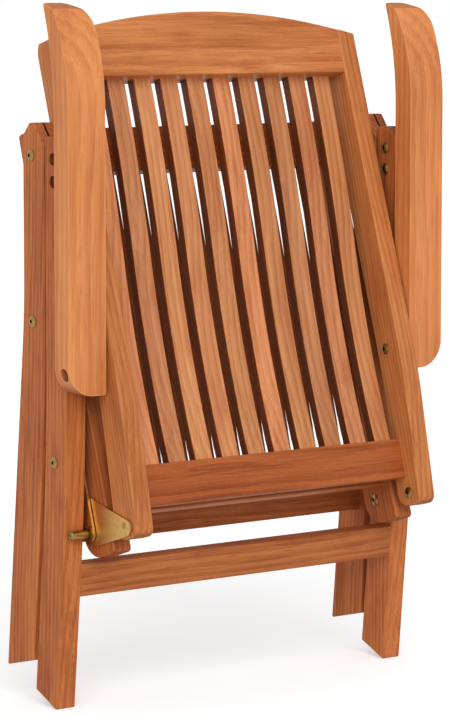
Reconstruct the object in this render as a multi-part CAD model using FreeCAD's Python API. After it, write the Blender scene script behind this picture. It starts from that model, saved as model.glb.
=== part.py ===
import FreeCAD, Part
import math
import os

# Folding teak armchair, modelled folded flat and standing on its rear feet.
# Millimetres. +X is the sitter's right, +Y is the way the open chair faces, +Z is up.
# Side views are drawn as (y, z) pairs. The sitter's side of the chair is +Y.

V = FreeCAD.Vector

# Widths. The seat's outer side is measured from the middle of the chair.
FRAME_OUTER = 232.0
FRAME_THICK = 26.0
SIDE_GAP = 10.0
LEG_THICK = 28.0
ARM_GAP = 2.5
ARM_WIDTH = 53.0
PIVOT_GAP = 0.5
FACE_GAP = 0.2

# Pivots in the folded pose, as (y, z)
LEG_PIVOT = (60.0, 670.0)
SEAT_PIVOT = (58.0, 470.0)
LINK_PIVOT = (13.0, 303.0)
LINK_END = (-14.0, 217.0)
BACK_PIVOT = (-82.0, 235.0)
ARM_PIVOT = (-34.0, 414.0)

# Leans of the folded pieces from upright, tops towards +Y
SEAT_LEAN = 18.5
BACK_LEAN = 16.0
ARM_LEAN = 0.0

# Opening angles that shape the feet and the leg tops
LEG_OPENING = 37.0
REAR_LEG_TILT = 23.1

# Legs. Each edge, rear then front, is upright down to its bend and leans forward below it.
LEG_DEPTH = 45.0
REAR_LEG_BACK = -14.5
LEG_GAP = 2.5
REAR_LEG_BENDS = (288.0, 300.0)
REAR_LEG_LEANS = (5.4, 5.4)
REAR_BEND_RADIUS = 2500.0
FRONT_LEG_BENDS = (400.0, 482.0)
FRONT_LEG_LEANS = (4.6, 5.4)
FRONT_BEND_RADIUS = 900.0
REAR_LEG_TOP = 694.0
REAR_TOP_RADIUS = 34.0
FRONT_LEG_TOP = 709.0
FRONT_TOP_FLAT = 10.6
FRONT_TOP_SLOPE = 47.0
FRONT_TOP_RADIUS = 14.0
FRONT_SLOPE_FOOT_RADIUS = 3.0
TOP_STOP_GAP = 1.0
END_EASE = 1.5

# Steel hinge plates hidden in saw slots in the leg tops
PLATE_THICK = 3.0
SLOT_GAP = 0.2
SLOT_FLOOR_GAP = 2.0
PLATE_BOLTS_IN = 17.5
PLATE_BOLTS_DOWN = (27.0, 54.0)
PLATE_MARGIN = 11.0
PLATE_SHOULDER = 5.0
PLATE_CORNER = 6.0
PLATE_EYE = 12.5

# Stretchers, as heights of their middles, section and inset from the leg's rear edge
STRETCHER_HIGH = 40.0
STRETCHER_THICK = 22.0
REAR_STRETCHER_Z = 158.0
REAR_STRETCHER_INSET = 1.0
FRONT_STRETCHER_Z = 212.0
FRONT_STRETCHER_INSET = 12.0

# Seat, across its thickness from the link end and up its length from there. The side rails
# are deeper at the foot than at the head.
SEAT_RAIL_TOP_SIDE = -36.0
SEAT_RAIL_FOOT_DEPTH = 60.0
SEAT_RAIL_HEAD_DEPTH = 38.0
SEAT_RAIL_FOOT = -31.0
SEAT_RAIL_HEAD = 499.0
SEAT_FOOT_RADIUS = 30.0
SEAT_HEAD_RADIUS = 4.0
SEAT_SMALL_RADIUS = 6.0
SEAT_FRONT_RAIL_HIGH = 56.0
SEAT_FRONT_RAIL_IN = 3.0
SEAT_FRONT_RAIL_THICK = 24.0
SEAT_REAR_RAIL = (16.5, 66.0)
SEAT_REAR_RAIL_THICK = 26.0
SEAT_SAG = (17.0, 6.0, 0.5)

# Back, across its thickness from the back pivot and up its length from there. The stiles'
# rear sides are given at the foot, at the bend and at the head.
STILE_REAR_SIDES = (-18.0, -30.5, -17.5)
STILE_DEPTH = 44.0
STILE_FOOT = -16.5
STILE_BEND = 150.0
STILE_BEND_RADIUS = 700.0
STILE_HEAD_DROP = 20.0
STILE_FOOT_RADIUS = 19.0
STILE_FOOT_SMALL_RADIUS = 11.0
STILE_HEAD_RADIUS = 27.0
BOTTOM_RAIL = (20.0, 70.0)
BOTTOM_RAIL_THICK = 20.0
CREST_TOP = 626.0
CREST_HIGH = 81.0
CREST_DROP = 31.0
SLAT_FACE = 1.0
RAIL_PROUD = 1.0
LUMBAR_BULGE = 8.0
LUMBAR_END = 330.0
LUMBAR_END_ACROSS = 4.0
UPPER_HOLLOW = -1.1

# Slats, the same in seat and back
SLAT_COUNT = 10
SLAT_END_GAP = 12.85
SLAT_WIDTH = 26.3
SLAT_THICK = 14.5
TENON_LONG = 12.0
TENON_THICK = 11.0
TENON_SHOULDER = 8.0
MORTISE_GAP = 0.1

# Armrests, up their length and out from the pivot towards the top face
ARM_UNDER = 18.0
ARM_THICK = 30.0
ARM_FOOT = -26.0
ARM_TIP = 438.0
ARM_CURVE_START = 310.0
ARM_TIP_DROP = 22.0
ARM_TIP_FACE = 20.0
ARM_TIP_SLOPE = 7.0
ARM_TOP_BOW = 0.24
ARM_UNDER_BOW = 0.26
ARM_FOOT_CORNER = 34.0
ARM_TIP_CORNER = 30.0
ARM_SMALL_CORNER = 4.0
NOTCH_COUNT = 5
NOTCH_FIRST = 229.0
NOTCH_PITCH = 31.0
NOTCH_DEPTH = 3.0
NOTCH_WALL = 6.0
NOTCH_GAP = 1.0
NOTCH_SIDE_GAP = 2.0

# Fasteners and fittings
BOLT_RADIUS = 4.0
THREAD_RADIUS = 3.0
THREAD_END_GAP = 0.5
SLEEVE_LONG = 12.0
RUNNING_GAP = 0.06
HEAD_RADIUS = 7.0
HEAD_HIGH = 3.2
HEAD_RIM = 0.9
SOCKET_ACROSS = 4.5
SOCKET_DEEP = 2.0
WELL_GAP = 0.5
WELL_DEEP = 7.0
COUNTERBORE_RADIUS = 8.0
COUNTERBORE_DEEP = 27.0
SPACER_RADIUS = 9.0
STRAP_THICK = 3.0
STRAP_WIDTH = 20.0
STRAP_GAP = 1.0
BRACKET_AT_LINK = (
    (-14.0, -13.0, 8.0), (12.0, -14.0, 6.0), (14.0, -2.0, 6.0), (9.0, 45.0, 4.0),
    (-30.5, 35.0, 4.0),
)
BRACKET_AT_BACK = ((-10.0, 7.0, 5.0), (-14.0, -2.0, 5.0), (-8.0, -11.0, 5.0))
SCREW_FROM_LINK = (6.0, 28.0)
SCREW_RADIUS = 2.5
SCREW_HEAD_RADIUS = 4.5
SCREW_LONG = 15.0
STUB_RADIUS = 5.5
STUB_LONG = 27.0
STUB_COLLAR_RADIUS = 10.0
STUB_COLLAR_THICK = 2.0
STUB_CHAMFER = 1.5
STUB_CENTRE_RADIUS = 1.5
STUB_CENTRE_DEEP = 2.0

# Softened edges
SOFT = 2.0
SLAT_SOFT = 1.6
LONG_EDGE = 60.0

# For the model itself: a full round stays this short of its half width, a cut runs this far
# past what it cuts, and two lengths closer than this are one
ROUND_SHY = 0.1
CUT_PAST = 5.0
TINY = 0.001

FRAME_INNER = FRAME_OUTER - FRAME_THICK
LEG_INNER = FRAME_OUTER + SIDE_GAP
LEG_OUTER = LEG_INNER + LEG_THICK
STILE_OUTER = FRAME_OUTER - PIVOT_GAP
STILE_INNER = STILE_OUTER - FRAME_THICK
ARM_INNER = FRAME_OUTER + ARM_GAP
ARM_OUTER = ARM_INNER + ARM_WIDTH
STRAP_INNER = FRAME_OUTER + STRAP_THICK + STRAP_GAP
STRAP_OUTER = STRAP_INNER + STRAP_THICK
PLATE_INNER = LEG_INNER + (LEG_THICK - PLATE_THICK) / 2
FRONT_LEG_BACK = REAR_LEG_BACK + LEG_DEPTH + LEG_GAP
REAR_LEG_EDGES = list(zip((REAR_LEG_BACK, REAR_LEG_BACK + LEG_DEPTH),
                          REAR_LEG_BENDS, REAR_LEG_LEANS))
FRONT_LEG_EDGES = list(zip((FRONT_LEG_BACK, FRONT_LEG_BACK + LEG_DEPTH),
                           FRONT_LEG_BENDS, FRONT_LEG_LEANS))
PLATE_BOLTS = [(REAR_LEG_BACK + LEG_DEPTH - PLATE_BOLTS_IN, REAR_LEG_TOP - down)
               for down in PLATE_BOLTS_DOWN]
SEAT_FRONT_RAIL = (SEAT_RAIL_HEAD - SEAT_FRONT_RAIL_IN - SEAT_FRONT_RAIL_HIGH,
                   SEAT_RAIL_HEAD - SEAT_FRONT_RAIL_IN)
CREST_FOOT = CREST_TOP - CREST_HIGH
SLAT_PITCH = 2 * (FRAME_INNER - SLAT_END_GAP - SLAT_WIDTH / 2) / (SLAT_COUNT - 1)
BORE_RADIUS = BOLT_RADIUS + RUNNING_GAP
WELL_RADIUS = HEAD_RADIUS + WELL_GAP
BRACKET_SCREW = (LINK_END[0] + SCREW_FROM_LINK[0], LINK_END[1] + SCREW_FROM_LINK[1])


def turned(point, pivot, degrees):
    """Turn a (y, z) point about a pivot, from +Y towards +Z."""
    angle = math.radians(degrees)
    y = point[0] - pivot[0]
    z = point[1] - pivot[1]
    return (pivot[0] + y * math.cos(angle) - z * math.sin(angle),
            pivot[1] + y * math.sin(angle) + z * math.cos(angle))


def leaning(origin, lean):
    """Give a function from (across, up) of a leaning piece to (y, z)."""
    angle = math.radians(lean)

    def place(across, up):
        return (origin[0] + across * math.cos(angle) + up * math.sin(angle),
                origin[1] - across * math.sin(angle) + up * math.cos(angle))
    return place


seat_at = leaning(LINK_END, SEAT_LEAN)
back_at = leaning(BACK_PIVOT, BACK_LEAN)
arm_at = leaning(ARM_PIVOT, ARM_LEAN)


def rounded_wire(corners):
    """Close a wire through (vector, radius) corners, with an arc at each radius."""
    starts = []
    middles = []
    ends = []
    for i, (corner, radius) in enumerate(corners):
        back = corners[i - 1][0] - corner
        ahead = corners[(i + 1) % len(corners)][0] - corner
        half = back.getAngle(ahead) / 2
        back.normalize()
        ahead.normalize()
        reach = radius / math.tan(half)
        starts.append(corner + back * reach)
        ends.append(corner + ahead * reach)
        inward = back + ahead
        if radius:
            inward.normalize()
        middles.append(corner + inward * (radius / math.sin(half) - radius) if radius else None)
    edges = []
    for i, middle in enumerate(middles):
        if middle:
            edges.append(Part.Arc(starts[i], middle, ends[i]).toShape())
        ahead = starts[(i + 1) % len(starts)]
        if ends[i].distanceToPoint(ahead) > TINY:
            edges.append(Part.LineSegment(ends[i], ahead).toShape())
    return Part.Wire(edges)


def slab(points, low, high):
    """Extrude a side view of (y, z) or (y, z, radius) points from x = low to high."""
    corners = []
    for point in points:
        radius = point[2] if len(point) > 2 else 0.0
        corners.append((V(low, point[0], point[1]), radius))
    return Part.Face(rounded_wire(corners)).extrude(V(high - low, 0, 0))


def block(place, across, up, low, high):
    """A box in a leaning piece's own directions, from x = low to high."""
    points = [place(across[0], up[0]), place(across[1], up[0]),
              place(across[1], up[1]), place(across[0], up[1])]
    return slab(points, low, high)


def rod(centre, radius, low, high):
    """A cylinder along X about a (y, z) centre."""
    return Part.makeCylinder(radius, high - low, V(low, centre[0], centre[1]), V(1, 0, 0))


def tube(centre, radius, bore, low, high):
    return rod(centre, radius, low, high).cut(rod(centre, bore, low - CUT_PAST, high + CUT_PAST))


def softened(solid, radius, wanted):
    """Round the edges that the test picks."""
    return solid.makeFillet(radius, [edge for edge in solid.Edges if wanted(edge)])


def faces_sideways(edge):
    """True for an edge of a side view: all of it at one x."""
    box = edge.BoundBox
    return box.XLength < TINY


def runs_sideways(edge):
    box = edge.BoundBox
    return box.XLength > LONG_EDGE and box.YLength < TINY and box.ZLength < TINY


def long_side_edge(edge):
    return faces_sideways(edge) and edge.Length > LONG_EDGE


def mirrored(solid):
    return solid.mirror(V(0, 0, 0), V(1, 0, 0))


def bore_holes(solid, centres, radius, low, high):
    """Cut round holes from x = low to high, and past both faces there."""
    for centre in centres:
        solid = solid.cut(rod(centre, radius, low, high))
    return solid


# Legs

def edge_at(edge, z):
    """y of a leg's edge at a height below its bend."""
    upper_y, bend, lean = edge
    return upper_y + (bend - z) * math.tan(math.radians(lean))


def foot_corner(edge, turn):
    """The point of a leg's edge on the open chair's floor, where the leg has turned by turn."""
    floor = turned((edge_at(REAR_LEG_EDGES[0], 0.0), 0.0), LEG_PIVOT, -REAR_LEG_TILT)[1]
    angle = math.radians(turn)
    slope = math.tan(math.radians(edge[2]))
    run = edge_at(edge, 0.0) - LEG_PIVOT[0]
    z = LEG_PIVOT[1] * math.cos(angle) - run * math.sin(angle) + floor - LEG_PIVOT[1]
    z = z / (math.cos(angle) - slope * math.sin(angle))
    return (edge_at(edge, z), z, END_EASE)


def rear_leg_side():
    rear, front = REAR_LEG_EDGES
    return [foot_corner(rear, -REAR_LEG_TILT), foot_corner(front, -REAR_LEG_TILT),
            (front[0], front[1], REAR_BEND_RADIUS), (front[0], REAR_LEG_TOP, SOFT),
            (rear[0], REAR_LEG_TOP, REAR_TOP_RADIUS), (rear[0], rear[1], REAR_BEND_RADIUS)]


def front_leg_side():
    rear, front = FRONT_LEG_EDGES
    turn = LEG_OPENING - REAR_LEG_TILT
    # The top's rear slope stands clear of the rear leg when the chair is open
    opening = math.radians(LEG_OPENING)
    reach = LEG_PIVOT[0] - (REAR_LEG_BACK + LEG_DEPTH) - TOP_STOP_GAP
    near = LEG_PIVOT[0] - rear[0]
    rise = (reach - near * math.cos(opening)) / math.sin(opening)
    slope_foot = (rear[0], LEG_PIVOT[1] + rise)
    slope_head = (rear[0] + (FRONT_LEG_TOP - slope_foot[1]) * math.tan(opening), FRONT_LEG_TOP)
    flat_end = slope_head[0] + FRONT_TOP_FLAT
    drop = (front[0] - flat_end) * math.tan(math.radians(FRONT_TOP_SLOPE))
    return [foot_corner(rear, turn), foot_corner(front, turn),
            (front[0], front[1], FRONT_BEND_RADIUS),
            (front[0], FRONT_LEG_TOP - drop, FRONT_TOP_RADIUS),
            (flat_end, FRONT_LEG_TOP, END_EASE), slope_head + (END_EASE,),
            slope_foot + (FRONT_SLOPE_FOOT_RADIUS,), (rear[0], rear[1], FRONT_BEND_RADIUS)]


def leg_slot(floor):
    """A saw slot through both legs, from a floor up past their tops."""
    low = PLATE_INNER - SLOT_GAP
    high = PLATE_INNER + PLATE_THICK + SLOT_GAP
    rear = REAR_LEG_BACK - CUT_PAST
    front = FRONT_LEG_BACK + LEG_DEPTH + CUT_PAST
    top = FRONT_LEG_TOP + CUT_PAST
    return slab([(rear, floor), (front, floor), (front, top), (rear, top)], low, high)


def stretcher(z, edge, inset):
    """A stretcher with a tenon into each leg, set in from the leg's rear edge."""
    place = leaning((edge_at(edge, z) + inset, z), -edge[2])
    half = STRETCHER_HIGH / 2
    bar = block(place, (0, STRETCHER_THICK), (-half, half), -LEG_INNER, LEG_INNER)
    bar = softened(bar, SOFT, runs_sideways)
    return bar.fuse(stretcher_tenon(place, 0.0)).removeSplitter(), stretcher_tenon(place, MORTISE_GAP)


def stretcher_tenon(place, gap):
    side = (STRETCHER_THICK - TENON_THICK) / 2 - gap
    half = STRETCHER_HIGH / 2 - TENON_SHOULDER + gap
    end = LEG_INNER + TENON_LONG + gap
    return block(place, (side, STRETCHER_THICK - side), (-half, half), -end, end)


def make_legs():
    parts = {}
    rear_bar, rear_mortise = stretcher(REAR_STRETCHER_Z, REAR_LEG_EDGES[0], REAR_STRETCHER_INSET)
    front_bar, front_mortise = stretcher(FRONT_STRETCHER_Z, FRONT_LEG_EDGES[0],
                                         FRONT_STRETCHER_INSET)
    through = (BORE_RADIUS, LEG_INNER - CUT_PAST, LEG_OUTER + CUT_PAST)
    rear = softened(slab(rear_leg_side(), LEG_INNER, LEG_OUTER), SOFT, faces_sideways)
    rear = rear.cut(leg_slot(PLATE_BOLTS[1][1] - PLATE_MARGIN - 2 * SLOT_GAP)).cut(rear_mortise)
    rear = bore_holes(rear, PLATE_BOLTS + [LINK_PIVOT], *through)
    rear = bore_holes(rear, PLATE_BOLTS, WELL_RADIUS, LEG_OUTER - WELL_DEEP, LEG_OUTER + CUT_PAST)
    front = softened(slab(front_leg_side(), LEG_INNER, LEG_OUTER), SOFT, faces_sideways)
    front = front.cut(leg_slot(LEG_PIVOT[1] - PLATE_EYE - SLOT_FLOOR_GAP)).cut(front_mortise)
    front = bore_holes(front, (LEG_PIVOT, SEAT_PIVOT), *through)
    parts["rear_leg_right"] = rear
    parts["rear_leg_left"] = mirrored(rear)
    parts["rear_stretcher"] = rear_bar
    parts["front_leg_right"] = front
    parts["front_leg_left"] = mirrored(front)
    parts["front_stretcher"] = front_bar
    return parts


def make_hinge_plates():
    """Plates fixed in the rear leg tops, with an eye in which the front leg turns."""
    eye_y, eye_z = LEG_PIVOT
    bolt_y = PLATE_BOLTS[0][0]
    foot = PLATE_BOLTS[1][1] - PLATE_MARGIN
    eye = PLATE_EYE
    round_end = eye - ROUND_SHY
    side = [(bolt_y - PLATE_MARGIN, foot, PLATE_CORNER),
            (bolt_y + PLATE_MARGIN, foot, PLATE_CORNER),
            (bolt_y + PLATE_MARGIN + PLATE_SHOULDER, eye_z - eye, PLATE_CORNER),
            (eye_y + eye, eye_z - eye, round_end), (eye_y + eye, eye_z + eye, round_end),
            (bolt_y - PLATE_MARGIN, eye_z + eye, PLATE_CORNER)]
    plate = slab(side, PLATE_INNER, PLATE_INNER + PLATE_THICK)
    plate = bore_holes(plate, PLATE_BOLTS + [LEG_PIVOT], BORE_RADIUS, LEG_INNER, LEG_OUTER)
    return {"leg_hinge_plate_right": plate, "leg_hinge_plate_left": mirrored(plate)}


# Slatted panels

def slat_centres():
    first = -SLAT_PITCH * (SLAT_COUNT - 1) / 2
    return [first + SLAT_PITCH * i for i in range(SLAT_COUNT)]


def bent_board(place, arcs, thick, low, high, grow, soft):
    """A board of even thickness whose face follows arcs of (across, up) points."""
    face = [[(across - grow, up) for across, up in arc] for arc in arcs]
    reverse = [[(across + thick + grow, up) for across, up in arc] for arc in arcs]
    edges = []
    for arc in face + reverse:
        points = [V(low - grow, *place(across, up)) for across, up in arc]
        edges.append(Part.Arc(*points).toShape())
    for end in (arcs[0][0], arcs[-1][2]):
        a = V(low - grow, *place(end[0] - grow, end[1]))
        b = V(low - grow, *place(end[0] + thick + grow, end[1]))
        edges.append(Part.LineSegment(a, b).toShape())
    wire = Part.Wire(Part.__sortEdges__(edges))
    board = Part.Face(wire).extrude(V(high - low + 2 * grow, 0, 0))
    return softened(board, soft, long_side_edge)


def seat_slat(centre, grow):
    low_up = SEAT_REAR_RAIL[1] - TENON_LONG - grow
    high_up = SEAT_FRONT_RAIL[0] + TENON_LONG + grow
    middle_up = (low_up + high_up) / 2
    face = [(SEAT_RAIL_TOP_SIDE + sag, up)
            for sag, up in zip(SEAT_SAG, (low_up, middle_up, high_up))]
    half = SLAT_WIDTH / 2
    return bent_board(seat_at, [face], SLAT_THICK, centre - half, centre + half, grow, SLAT_SOFT)


def back_slat(centre, grow):
    low_up = BOTTOM_RAIL[1] - TENON_LONG - grow
    high_up = CREST_FOOT + TENON_LONG + grow
    lower = [(SLAT_FACE, low_up), (SLAT_FACE + LUMBAR_BULGE, (low_up + LUMBAR_END) / 2),
             (SLAT_FACE + LUMBAR_END_ACROSS, LUMBAR_END)]
    upper = [lower[2], (SLAT_FACE + UPPER_HOLLOW, (LUMBAR_END + high_up) / 2),
             (SLAT_FACE, high_up)]
    half = SLAT_WIDTH / 2
    return bent_board(back_at, [lower, upper], SLAT_THICK, centre - half, centre + half, grow,
                      SLAT_SOFT)


def mortised(rail, slat):
    """Cut a rail with slightly larger copies of its slats."""
    return rail.cut(Part.makeCompound([slat(centre, MORTISE_GAP) for centre in slat_centres()]))


def cross_rail(place, across, up, half_width):
    """A rail between two side members, with a tenon into each."""
    bar = softened(block(place, across, up, -half_width, half_width), SOFT, runs_sideways)
    return bar.fuse(rail_tenon(place, across, up, half_width, 0.0)).removeSplitter()


def rail_tenon(place, across, up, half_width, gap):
    middle = (across[0] + across[1]) / 2
    half = TENON_THICK / 2 + gap
    end = half_width + TENON_LONG + gap
    return block(place, (middle - half, middle + half),
                 (up[0] + TENON_SHOULDER - gap, up[1] - TENON_SHOULDER + gap), -end, end)


def make_seat():
    parts = {}
    top_side = SEAT_RAIL_TOP_SIDE
    side = [seat_at(top_side, SEAT_RAIL_FOOT) + (SEAT_SMALL_RADIUS,),
            seat_at(top_side + SEAT_RAIL_FOOT_DEPTH, SEAT_RAIL_FOOT) + (SEAT_FOOT_RADIUS,),
            seat_at(top_side + SEAT_RAIL_HEAD_DEPTH, SEAT_RAIL_HEAD) + (SEAT_HEAD_RADIUS,),
            seat_at(top_side, SEAT_RAIL_HEAD) + (SEAT_SMALL_RADIUS,)]
    rail = softened(slab(side, FRAME_INNER, FRAME_OUTER), SOFT, faces_sideways)
    front = (top_side, top_side + SEAT_FRONT_RAIL_THICK)
    rear_face = top_side + SEAT_SAG[0] - RAIL_PROUD
    rear = (rear_face, rear_face + SEAT_REAR_RAIL_THICK)
    for across, up in ((front, SEAT_FRONT_RAIL), (rear, SEAT_REAR_RAIL)):
        rail = rail.cut(rail_tenon(seat_at, across, up, FRAME_INNER, MORTISE_GAP))
    rail = bore_holes(rail, (SEAT_PIVOT, LINK_END), BORE_RADIUS, FRAME_INNER - CUT_PAST,
                      FRAME_OUTER + CUT_PAST)
    rail = rail.cut(bracket_screw())
    parts["seat_rail_right"] = rail
    parts["seat_rail_left"] = mirrored(rail)
    front_rail = cross_rail(seat_at, front, SEAT_FRONT_RAIL, FRAME_INNER)
    rear_rail = cross_rail(seat_at, rear, SEAT_REAR_RAIL, FRAME_INNER)
    parts["seat_front_rail"] = mortised(front_rail, seat_slat)
    parts["seat_rear_rail"] = mortised(rear_rail, seat_slat)
    for i, centre in enumerate(slat_centres()):
        parts["seat_slat_%02d" % (i + 1)] = seat_slat(centre, 0.0)
    return parts


def crest_outline(half_width, foot, across, depth):
    """The crest's front view, with its arched top, cut off at x = half_width."""
    radius = (STILE_OUTER ** 2 + CREST_DROP ** 2) / (2 * CREST_DROP)

    def arch(x):
        return CREST_TOP - radius + math.sqrt(radius ** 2 - x ** 2)

    def at(x, up):
        return V(x, *back_at(across, up))
    right_up = arch(half_width)
    edges = [
        Part.LineSegment(at(-half_width, foot), at(half_width, foot)).toShape(),
        Part.LineSegment(at(half_width, foot), at(half_width, right_up)).toShape(),
        Part.Arc(at(half_width, right_up), at(0, CREST_TOP), at(-half_width, right_up)).toShape(),
        Part.LineSegment(at(-half_width, right_up), at(-half_width, foot)).toShape(),
    ]
    return Part.Face(Part.Wire(edges)).extrude(V(0, *back_at(depth, 0)) - V(0, *back_at(0, 0)))


def make_back():
    parts = {}
    foot_side, bend_side, head_side = STILE_REAR_SIDES
    head = CREST_TOP - STILE_HEAD_DROP
    side = [back_at(foot_side, STILE_FOOT) + (STILE_FOOT_SMALL_RADIUS,),
            back_at(foot_side + STILE_DEPTH, STILE_FOOT) + (STILE_FOOT_RADIUS,),
            back_at(bend_side + STILE_DEPTH, STILE_BEND) + (STILE_BEND_RADIUS,),
            back_at(head_side + STILE_DEPTH, head) + (STILE_HEAD_RADIUS,),
            back_at(head_side, head) + (2 * SOFT,),
            back_at(bend_side, STILE_BEND) + (STILE_BEND_RADIUS,)]
    crest_tenon_up = (CREST_FOOT, CREST_TOP - CREST_DROP)
    depth_range = (head_side, head_side + STILE_DEPTH)
    bottom = (SLAT_FACE - RAIL_PROUD, SLAT_FACE - RAIL_PROUD + BOTTOM_RAIL_THICK)
    stile = softened(slab(side, STILE_INNER, STILE_OUTER), SOFT, faces_sideways)
    depth = max(STILE_REAR_SIDES) - min(STILE_REAR_SIDES) + STILE_DEPTH
    stile = stile.common(crest_outline(STILE_OUTER, STILE_FOOT - CUT_PAST,
                                       min(STILE_REAR_SIDES) - CUT_PAST, depth + 2 * CUT_PAST))
    stile = stile.cut(rail_tenon(back_at, depth_range, crest_tenon_up, STILE_INNER, MORTISE_GAP))
    stile = stile.cut(rail_tenon(back_at, bottom, BOTTOM_RAIL, STILE_INNER, MORTISE_GAP))
    stile = bore_holes(stile, (BACK_PIVOT, ARM_PIVOT), BORE_RADIUS, STILE_INNER - CUT_PAST,
                       STILE_OUTER + CUT_PAST)
    parts["back_stile_right"] = stile
    parts["back_stile_left"] = mirrored(stile)
    crest = crest_outline(STILE_INNER, CREST_FOOT, head_side, STILE_DEPTH)
    crest = softened(crest, SOFT, lambda edge: edge.Length > STILE_INNER)
    tenon = rail_tenon(back_at, depth_range, crest_tenon_up, STILE_INNER, 0.0)
    crest = crest.fuse(tenon).removeSplitter()
    parts["back_crest_rail"] = mortised(crest, back_slat)
    parts["back_bottom_rail"] = mortised(cross_rail(back_at, bottom, BOTTOM_RAIL, STILE_INNER),
                                         back_slat)
    for i, centre in enumerate(slat_centres()):
        parts["back_slat_%02d" % (i + 1)] = back_slat(centre, 0.0)
    return parts


# Armrests

def arm_side_view(low, high):
    """The arm's side view: a straight board that curves down to its front tip."""
    under = ARM_UNDER
    top = ARM_UNDER - ARM_THICK
    bend = (ARM_CURVE_START + ARM_TIP) / 2
    tip_under = under + ARM_TIP_DROP
    tip_top = tip_under - ARM_TIP_FACE
    tip_top_up = ARM_TIP - ARM_TIP_SLOPE

    def at(across, up):
        return V(low, *arm_at(across, up))
    points = {
        "heel_under": at(under, ARM_FOOT), "heel_top": at(top, ARM_FOOT),
        "top_bend": at(top, ARM_CURVE_START), "tip_top": at(tip_top, tip_top_up),
        "tip_under": at(tip_under, ARM_TIP), "under_bend": at(under, ARM_CURVE_START),
    }
    top_mid = at(top + (tip_top - top) * ARM_TOP_BOW, bend)
    under_mid = at(under + ARM_TIP_DROP * ARM_UNDER_BOW, bend)
    edges = [
        Part.LineSegment(points["heel_under"], points["heel_top"]).toShape(),
        Part.LineSegment(points["heel_top"], points["top_bend"]).toShape(),
        Part.Arc(points["top_bend"], top_mid, points["tip_top"]).toShape(),
        Part.LineSegment(points["tip_top"], points["tip_under"]).toShape(),
        Part.Arc(points["tip_under"], under_mid, points["under_bend"]).toShape(),
        Part.LineSegment(points["under_bend"], points["heel_under"]).toShape(),
    ]
    return Part.Face(Part.Wire(edges)).extrude(V(high - low, 0, 0))


def arm_plan(rounded_side):
    """The arm's outline from above, with the big heel corner outside.

    rounded_side is +1 where the outer front corner is the rounded one, -1 for the inner one.
    """
    across = ARM_UNDER - ARM_THICK - CUT_PAST
    depth = ARM_THICK + ARM_TIP_DROP + 2 * CUT_PAST

    def at(x, up):
        return V(x, *arm_at(across, up))
    small = ARM_SMALL_CORNER
    tip_inner = ARM_TIP_CORNER if rounded_side < 0 else small
    tip_outer = ARM_TIP_CORNER if rounded_side > 0 else small
    corners = [(at(ARM_INNER, ARM_FOOT), small), (at(ARM_OUTER, ARM_FOOT), ARM_FOOT_CORNER),
               (at(ARM_OUTER, ARM_TIP), tip_outer), (at(ARM_INNER, ARM_TIP), tip_inner)]
    through = V(0, *arm_at(depth, 0)) - V(0, *arm_at(0, 0))
    return Part.Face(rounded_wire(corners)).extrude(through)


def make_arm(rounded_side):
    arm = arm_side_view(ARM_INNER, ARM_OUTER).common(arm_plan(rounded_side))
    for i in range(NOTCH_COUNT):
        radius = REAR_TOP_RADIUS + NOTCH_GAP
        centre = arm_at(ARM_UNDER + radius - NOTCH_DEPTH, NOTCH_FIRST + i * NOTCH_PITCH)
        arm = arm.cut(rod(centre, radius, ARM_INNER + NOTCH_WALL, LEG_OUTER + NOTCH_SIDE_GAP))
    arm = bore_holes(arm, (ARM_PIVOT,), BORE_RADIUS, ARM_INNER - CUT_PAST, ARM_OUTER + CUT_PAST)
    low = ARM_OUTER - COUNTERBORE_DEEP
    return bore_holes(arm, (ARM_PIVOT,), COUNTERBORE_RADIUS, low, ARM_OUTER + CUT_PAST)


def make_arms():
    return {"armrest_right": make_arm(1), "armrest_left": mirrored(make_arm(-1))}


# Metal fittings

def bracket_screw():
    """A countersunk screw through the bracket into the seat rail."""
    face = FRAME_OUTER + STRAP_THICK
    head_high = SCREW_HEAD_RADIUS - SCREW_RADIUS
    head = Part.makeCone(SCREW_RADIUS, SCREW_HEAD_RADIUS, head_high,
                         V(face - head_high, *BRACKET_SCREW), V(1, 0, 0))
    return head.fuse(rod(BRACKET_SCREW, SCREW_RADIUS, face - SCREW_LONG, face - head_high / 2))


def make_brackets():
    face = FRAME_OUTER + STRAP_THICK
    outline = [(pivot[0] + y, pivot[1] + z, radius)
               for pivot, corners in ((LINK_END, BRACKET_AT_LINK), (BACK_PIVOT, BRACKET_AT_BACK))
               for y, z, radius in corners]
    plate = slab(outline, FRAME_OUTER, face)
    plate = bore_holes(plate, (LINK_END, BACK_PIVOT), BORE_RADIUS, FRAME_OUTER - CUT_PAST,
                       face + CUT_PAST)
    plate = plate.cut(bracket_screw())
    screw = bracket_screw()
    return {"seat_bracket_right": plate, "seat_bracket_left": mirrored(plate),
            "bracket_screws": Part.makeCompound([screw, mirrored(screw)])}


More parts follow.
